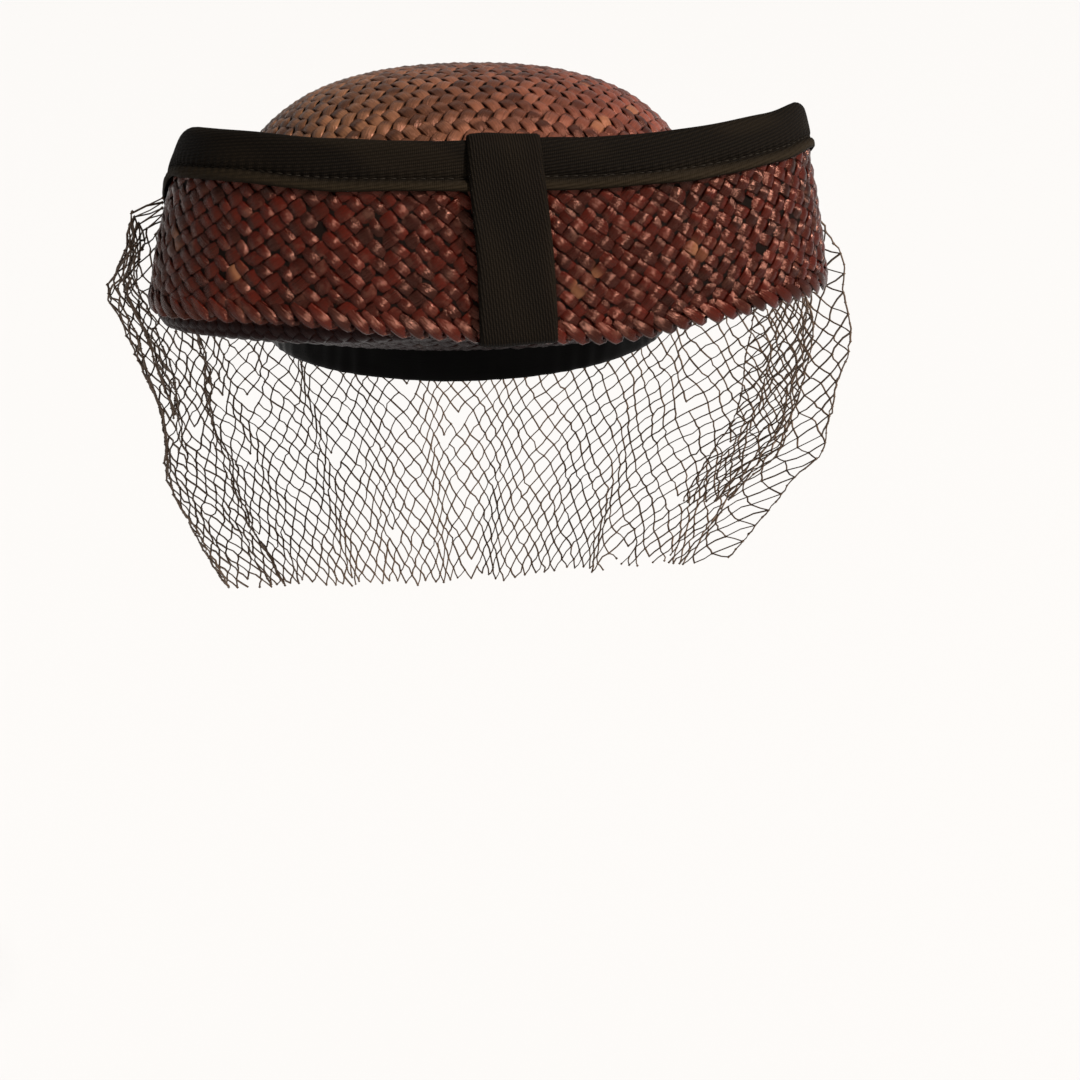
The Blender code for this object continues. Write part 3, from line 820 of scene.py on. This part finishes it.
def make_band(materials):
    inward = STRAW / 2 + BAND_SLACK + SATIN / 2 + 0.0001
    headings = np.linspace(0, 2 * math.pi, 361)[:-1]
    heights = np.concatenate([np.linspace(BAND_RISE, 0, 10), np.linspace(0, -1, 16)[1:]])
    points = np.empty((len(headings), len(heights), 3))
    flat = unit(np.stack([np.sin(headings) / CROWN_WIDTH, np.cos(headings) / CROWN_LENGTH, 0 * headings], 1))
    drop = BAND_DROP + BAND_TILT * np.sin(headings)
    for k, h in enumerate(heights):
        points[:, k] = crown_wall(headings, max(h, 0.0) / CROWN_HEIGHT) - flat * inward
        points[:, k, 2] = h if h >= 0 else h * drop
    g, v = np.meshgrid(headings, np.linspace(0, 1, len(heights)), indexing="ij")
    n = grid_normals(points, closed=True)
    if n[0, 12, 1] < 0:
        n = -n
    soft = 0.00028 * waves(g * 14, v * 4, 71) + 0.0002 * waves(g * 40, v * 3, 72)
    soft = soft - 0.0004 * np.exp(-(((v - 1.0) / 0.05) ** 2))
    points = points + n * soft[..., None]
    maps = np.stack([g * BAND_MAP_RADIUS, (BAND_DROP + BAND_RISE) * v], -1) * 1000
    build = Build()
    add_cloth(build, points, n, BAND_SHEET, maps, np.full(points.shape, 0.5), closed=True)
    o = build.piece("head_band_satin", [materials["satin"]])
    around = float(np.linalg.norm(np.roll(points[:, 9], -1, 0) - points[:, 9], axis=1).sum())
    return o


# The veil: a knotted net with uneven diamonds, doubled in folds at its two ends

NET_ACROSS, NET_DOWN, THREAD, TORN = 58, 42, 0.00036, 0.012
RUFFLE, FINE_RUFFLE, LEFT_PUFF, RIGHT_PUFF, RIGHT_FOLD = 0.0024, 0.0007, 0.0110, 0.0012, 0.0040
KNOT = np.array([(1, 0, 0), (0, 1, 0), (-1, 0, 0), (0, -1, 0), (0, 0, 1), (0, 0, -1)], float)
KNOT_FACES = [(0, 1, 4), (1, 2, 4), (2, 3, 4), (3, 0, 4), (1, 0, 5), (2, 1, 5), (3, 2, 5), (0, 3, 5)]


def net_layer(build, start, end, first_row, last_row, inward, seed):
    """Threads and knots of the net between two shares across it and two rows."""
    r = np.random.default_rng(seed)
    columns = int(round(NET_ACROSS * (end - start)))
    rows = last_row - first_row + 1
    i, j = np.meshgrid(np.arange(columns + 1), np.arange(rows), indexing="ij")
    odd = (j + first_row) % 2
    across = start + (end - start) * (i + 0.5 * odd) / (columns + 0.5)
    down = (first_row + j) / NET_DOWN
    across = across + 0.0016 * waves(across * 60, down * 14, seed) + r.normal(0, 0.0007, across.shape)
    across = across + 0.0030 * np.sin(2 * math.pi * 11 * across) * np.sin(math.pi * across)
    across = np.clip(across, start, end)
    across[0], across[-1] = start, end
    shift = 0.0026 * waves(across * 30, down * 40, seed + 1) + r.normal(0, 0.0015, down.shape)
    down = np.clip(down + (j + first_row > 0) * shift, 0, 1)
    p = veil_place(across, down)
    out = unit(p * np.array([1, 1, 0]) - np.array([0, 0.03, 0]))
    loose = ease(down * 5)
    ruffle = RUFFLE * waves(across * 70, down * 8, seed + 2)
    ruffle = ruffle + FINE_RUFFLE * waves(across * 200, down * 24, seed + 3)
    left, right = np.exp(-((across / 0.08) ** 2)), np.exp(-(((1 - across) / 0.09) ** 2))
    puff = (LEFT_PUFF * left + RIGHT_PUFF * right) * ease(down * 40) * (1 - ease((down - 0.03) / 0.15))
    puff = puff + RIGHT_FOLD * right * ease((down - 0.22) / 0.2) * (1 - ease((down - 0.62) / 0.2))
    p = p + out * ((ruffle * (1 - 0.6 * left) - inward - 0.002) * loose + puff)[..., None]
    tone = r.uniform(0, 1, p.shape[:2])
    torn = r.random(p.shape[:2]) < TORN
    threads, knots, thread_tones, knot_tones = [], [], [], []
    for a in range(columns + 1):
        for b in range(rows - 1):
            for to in (a - 1 + odd[a, b], a + odd[a, b]):
                if to < 0 or to > columns or torn[a, b]:
                    continue
                one, two = p[a, b], p[to, b + 1]
                middle = (one + two) / 2 + r.normal(0, 0.00035, 3)
                line = np.stack([one, middle, two])
                d = unit(two - one)
                u = unit(np.cross(d, (0.31, 0.53, 0.79)))
                v = np.cross(d, u)
                size = THREAD * r.uniform(0.8, 1.2)
                around = (u[None] * THREAD_RING[:, :1] + v[None] * THREAD_RING[:, 1:]) * size
                threads.append((line[:, None] + around[None]).reshape(-1, 3))
                thread_tones.append(np.full((len(threads[-1]), 3), tone[a, b]))
    for a in range(columns + 1):
        for b in range(rows):
            knots.append(p[a, b] + KNOT * THREAD * r.uniform(1.5, 2.1))
            knot_tones.append(np.full((len(KNOT), 3), tone[a, b]))
    for parts, faces, tones in ((threads, tube_faces(3, 4), thread_tones), (knots, KNOT_FACES, knot_tones)):
        firsts = len(parts[0]) * np.arange(len(parts))[:, None, None]
        points, faces = np.concatenate(parts), (np.array(faces) + firsts).reshape(-1, len(faces[0]))
        build.add(points, faces, np.zeros((len(points), 2)), np.concatenate(tones))


def make_veil(materials):
    """One layer from end to end, and a shorter one inside it where the net is doubled at each end."""
    build = Build()
    net_layer(build, 0.0, 1.0, 0, NET_DOWN, 0.0, 81)
    net_layer(build, 0.88, 0.975, 2, NET_DOWN - 8, 0.0075, 85)
    net_layer(build, 0.0, 0.06, 1, NET_DOWN // 2, 0.0045, 89)
    o = build.piece("veil_net", [materials["net"]])
    return o


# Finishes

class Finish:
    """A material whose nodes are added by name."""

    def __init__(self, name, roughness, **sockets):
        self.material = bpy.data.materials.new(name)
        self.material.use_nodes = True
        self.tree = self.material.node_tree
        self.shader = self.tree.nodes["Principled BSDF"]
        self.shader.inputs["Roughness"].default_value = roughness
        for key, value in sockets.items():
            self.shader.inputs[key.replace("_", " ")].default_value = value

    def node(self, kind, values=None, **settings):
        n = self.tree.nodes.new(kind)
        for key, value in settings.items():
            setattr(n, key, value)
        for key, value in (values or {}).items():
            if isinstance(value, bpy.types.NodeSocket):
                self.tree.links.new(value, n.inputs[key])
            else:
                n.inputs[key].default_value = value
        return n

    def math(self, operation, a, b=0.0, c=0.0):
        return self.node("ShaderNodeMath", {0: a, 1: b, 2: c}, operation=operation).outputs[0]

    def times(self, a, b):
        return self.math("MULTIPLY", a, b)

    def plus(self, a, b):
        return self.math("ADD", a, b)

    def mix(self, factor, a, b):
        n = self.node("ShaderNodeMix", data_type="RGBA")
        for socket, value in ((n.inputs[0], factor), (n.inputs[6], a), (n.inputs[7], b)):
            if isinstance(value, bpy.types.NodeSocket):
                self.tree.links.new(value, socket)
            else:
                socket.default_value = value
        return n.outputs[2]

    def to(self, name, socket):
        self.tree.links.new(socket, self.shader.inputs[name])

    def shade(self):
        a = self.node("ShaderNodeVertexColor", layer_name="shade").outputs[0]
        return self.node("ShaderNodeSeparateColor", {0: a}).outputs

    def cloth(self):
        return self.node("ShaderNodeUVMap", uv_map="cloth").outputs[0]

    def noise(self, vector, scale, detail=2.0, rough=0.55):
        values = {"Vector": vector, "Scale": scale, "Detail": detail, "Roughness": rough}
        return self.node("ShaderNodeTexNoise", values).outputs[0]

    def stretch(self, vector, scale):
        return self.node("ShaderNodeMapping", {"Vector": vector, "Scale": scale}).outputs[0]

    def ramp(self, value, low, high):
        return self.node("ShaderNodeMapRange", {"Value": value, "From Min": low, "From Max": high}).outputs[0]

    def bump(self, height, distance, strength=1.0):
        values = {"Height": height, "Distance": distance, "Strength": strength}
        return self.node("ShaderNodeBump", values).outputs[0]

    def place(self, output="Position"):
        """The place of a point of the surface, or its normal."""
        return self.node("ShaderNodeNewGeometry").outputs[output]


def rgb(r, g, b):
    return (r, g, b, 1.0)


def straw(name, low, high, far_low, far_high, roughness, gloss, under=None):
    """Dyed straw: its dark and light colours where the second shade is 0, then where it is 1. On the cuff and
    the crown one of these pairs is a painted sheen, and under, when given, is painted shade on the sides that
    face down.
    """
    f = Finish(name, roughness, Specular_IOR_Level=gloss, Specular_Tint=rgb(1.0, 0.44, 0.31))
    tint, far, chip = f.shade()[:3]
    uv = f.cloth()
    fibres = f.noise(f.stretch(uv, (0.10, 2.6, 1.0)), 1.0, 3.0, 0.65)
    slivers = f.noise(f.stretch(uv, (0.05, 6.0, 1.0)), 1.0, 2.0, 0.6)
    spots = f.noise(f.place(), 160.0, 3.0)
    # Painted sheen: the second shade blends between the two pairs of colours. On the cuff the second pair is a
    # greyer brown sheen at the left end; on the crown the first pair is a tan sheen on the left.
    colour = f.mix(far, f.mix(tint, low, high), f.mix(tint, far_low, far_high))
    colour = f.mix(f.ramp(fibres, 0.30, 0.72), f.mix(0.55, colour, rgb(0.006, 0.003, 0.002)), colour)
    colour = f.mix(f.times(f.ramp(spots, 0.58, 0.72), 0.22), colour, rgb(0.16, 0.075, 0.05))
    colour = f.mix(f.times(chip, 0.75), colour, rgb(0.22, 0.09, 0.042))
    if under is not None:
        # Painted shade: the straw's colour above, and the near-black under colour on the side that faces down
        facing = f.node("ShaderNodeSeparateXYZ", {0: f.place("Normal")}).outputs[2]
        painted_underside_shade = f.ramp(f.times(facing, -1.0), -0.75, -0.1)
        colour = f.mix(f.times(painted_underside_shade, 0.93), colour, under)
    f.to("Base Color", colour)
    f.to("Roughness", f.plus(f.times(fibres, 0.20), roughness - 0.22))
    f.to("Normal", f.bump(f.plus(fibres, f.times(slivers, 0.8)), 0.00024))
    return f.material


def twill(name, dark, light, lip, pitch, slant, along_threads):
    """Cloth with slanted ridges. The map's first number runs along the tape, the second across it."""
    f = Finish(name, 0.72, Specular_IOR_Level=0.05)
    worn, edge = f.shade()[:2]
    uv = f.node("ShaderNodeSeparateXYZ", {0: f.cloth()}).outputs
    main, cross = (uv[0], uv[1]) if along_threads else (uv[1], uv[0])
    turn = 2 * math.pi / pitch
    wander = f.noise(f.stretch(f.cloth(), (0.35, 0.35, 1.0)), 1.0, 2.0)
    phase = f.plus(f.times(main, turn), f.times(cross, slant * turn))
    phase = f.plus(phase, f.times(wander, 1.6))
    ridge = f.math("MULTIPLY_ADD", f.math("SINE", phase), 0.5, 0.5)
    grain = f.math("SINE", f.times(cross, turn / 0.62))
    grain = f.math("MULTIPLY_ADD", grain, 0.5, 0.5)
    fuzz = f.noise(f.cloth(), 3.0, 3.0, 0.7)
    dash = f.plus(f.times(cross, turn / 2.6), f.times(phase, 0.5))
    ridge = f.times(ridge, f.math("MULTIPLY_ADD", f.math("SINE", dash), 0.28, 0.72))
    colour = f.mix(ridge, dark, light)
    # Painted highlight: where the second shade is, the lip colour lights the tape's lower lip. Rubbed places
    # take the same colour as wear.
    colour = f.mix(f.times(edge, 0.8), colour, lip)
    rubbed = f.times(f.times(f.ramp(worn, 0.45, 1.0), fuzz), 0.36)
    f.to("Base Color", f.mix(rubbed, colour, lip))
    height = f.plus(ridge, f.times(grain, 0.30))
    height = f.plus(height, f.times(fuzz, 0.5))
    f.to("Normal", f.bump(height, 0.00030, 0.9))
    return f.material


def plain(name, colour, roughness, **sockets):
    f = Finish(name, roughness, **sockets)
    tone = f.noise(f.place(), 120.0)
    f.to("Base Color", f.mix(tone, rgb(*(0.55 * c for c in colour[:3])), colour))
    return f


def make_finishes():
    m = {}
    # The cuff's second pair of colours is its greyer brown painted sheen towards the left end.
    m["cuff"] = straw(
        "burgundy_straw_cuff",
        rgb(0.0100, 0.0005, 0.0002), rgb(0.055, 0.0032, 0.0011),
        rgb(0.011, 0.0020, 0.0009), rgb(0.046, 0.0110, 0.0050),
        0.33, 0.44,
    )
    # The crown's first pair of colours is a tan painted sheen, on its left; its second pair is the pinkish
    # straw on its right.
    m["crown"] = straw(
        "burgundy_straw_crown",
        rgb(0.054, 0.021, 0.009), rgb(0.215, 0.100, 0.048),
        rgb(0.034, 0.005, 0.003), rgb(0.235, 0.058, 0.037),
        0.36, 0.52,
    )
    # The brim is a darker copy of the crown's straw, painted shade; its under colour is painted shade on the
    # sides that face down.
    m["brim"] = straw(
        "burgundy_straw_brim_painted_shade",
        rgb(0.030, 0.009, 0.006), rgb(0.090, 0.026, 0.016),
        rgb(0.030, 0.008, 0.005), rgb(0.100, 0.028, 0.018),
        0.42, 0.10,
        under=rgb(0.0030, 0.0024, 0.0034),
    )
    # Near-black sheet behind the weave: painted shade in the gaps between strands.
    m["ground"] = plain("straw_ground", rgb(0.006, 0.003, 0.002), 0.8, Specular_IOR_Level=0.05).material
    # The tape's third colour is the painted highlight on its lower lip, also used in rubbed places.
    m["tape"] = twill(
        "black_twill_tape",
        rgb(0.0024, 0.0015, 0.0008), rgb(0.0066, 0.0042, 0.0021), rgb(0.0190, 0.0125, 0.0062),
        1.05, 0.12, False,
    )
    m["tab"] = twill(
        "black_twill_tab",
        rgb(0.0028, 0.0018, 0.0010), rgb(0.0086, 0.0054, 0.0028), rgb(0.014, 0.0090, 0.0046),
        1.0, 0.10, True,
    )
    satin = plain("black_satin", rgb(0.0014, 0.0011, 0.0009), 0.24, Specular_IOR_Level=0.03)
    sheen = satin.noise(satin.stretch(satin.cloth(), (0.05, 3.0, 1.0)), 1.0)
    satin.to("Normal", satin.bump(sheen, 0.0001, 0.6))
    m["satin"] = satin.material
    m["thread"] = plain("black_thread", rgb(0.016, 0.012, 0.008), 0.6, Specular_IOR_Level=0.1).material
    m["net"] = plain("brown_black_net", rgb(0.125, 0.082, 0.056), 0.6, Specular_IOR_Level=0.1).material
    floor = Finish("studio_floor", 0.9)
    floor.shader.inputs["Base Color"].default_value = rgb(0.62, 0.63, 0.65)
    m["floor"] = floor.material
    return m


# The stage: a floor, one sun and an even sky

KEY_TOWARD, KEY_SPREAD, KEY_POWER, KEY_COLOUR = (-0.80, 0.72, 0.78), 11, 6.6, (1.0, 0.955, 0.895)
SKY_COLOUR, SKY_STRENGTH = (1.0, 0.99, 0.97), 0.36


def make_stage(materials):
    mesh = bpy.data.meshes.new("floor")
    mesh.from_pydata([(-9, -12, FLOOR), (9, -12, FLOOR), (9, 6, FLOOR), (-9, 6, FLOOR)], [], [(0, 1, 2, 3)])
    mesh.materials.append(materials["floor"])
    floor = put("floor", mesh)
    world = bpy.data.worlds.new("studio")
    bpy.context.scene.world = world
    world.use_nodes = True
    background = world.node_tree.nodes["Background"]
    background.inputs["Color"].default_value = rgb(*SKY_COLOUR)
    background.inputs["Strength"].default_value = SKY_STRENGTH
    key = bpy.data.lights.new("key", "SUN")
    key.energy, key.color, key.angle = KEY_POWER, KEY_COLOUR, math.radians(KEY_SPREAD)
    put("key", key).rotation_euler = Vector(KEY_TOWARD).to_track_quat("Z", "Y").to_euler()
    bpy.context.scene.view_settings.view_transform = "Standard"


# The photo's camera, fitted to the hat's outlines: its right, up and back directions and its place
CAMERA_AXES = (
    (-0.98841081, 0.15179715, 0.00130195),
    (-0.05364434, -0.35729683, 0.93244907),
    (0.14200829, 0.92157289, 0.36129911),
)
CAMERA_PLACE, LENS, SENSOR = (0.084566, 0.739056, 0.180237), 64.4, 36.0


def make_camera():
    camera = bpy.data.cameras.new("camera")
    camera.lens, camera.sensor_width = LENS, SENSOR
    camera.clip_start, camera.clip_end = 0.01, 60
    o = put("camera", camera)
    m = Matrix(CAMERA_AXES).transposed().to_4x4()
    m.translation = CAMERA_PLACE
    o.matrix_world = m
    bpy.context.scene.camera = o


def main():
    materials = make_finishes()
    build = Build()
    weave_cuff(build)
    hem_cuff(build)
    cuff_ground(build)
    cuff = build.piece("cuff_straw", [materials["cuff"], materials["ground"]])
    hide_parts("cuff")
    build = Build()
    weave_dome(build)
    dome = build.piece("crown_dome", [materials["crown"], materials["ground"]])
    build = Build()
    weave_brim(build)
    brim = build.piece("crown_brim", [materials["brim"], materials["ground"]])
    for o in (dome, brim):
        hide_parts("crown")
    binding, stitches = make_binding(materials)
    for o in (binding, stitches):
        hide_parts("edge_binding")
    tab = make_tab(materials)
    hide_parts("back_tab")
    band = make_band(materials)
    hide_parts("head_band")
    veil = make_veil(materials)
    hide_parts("veil")
    make_stage(materials)
    make_camera()


main()
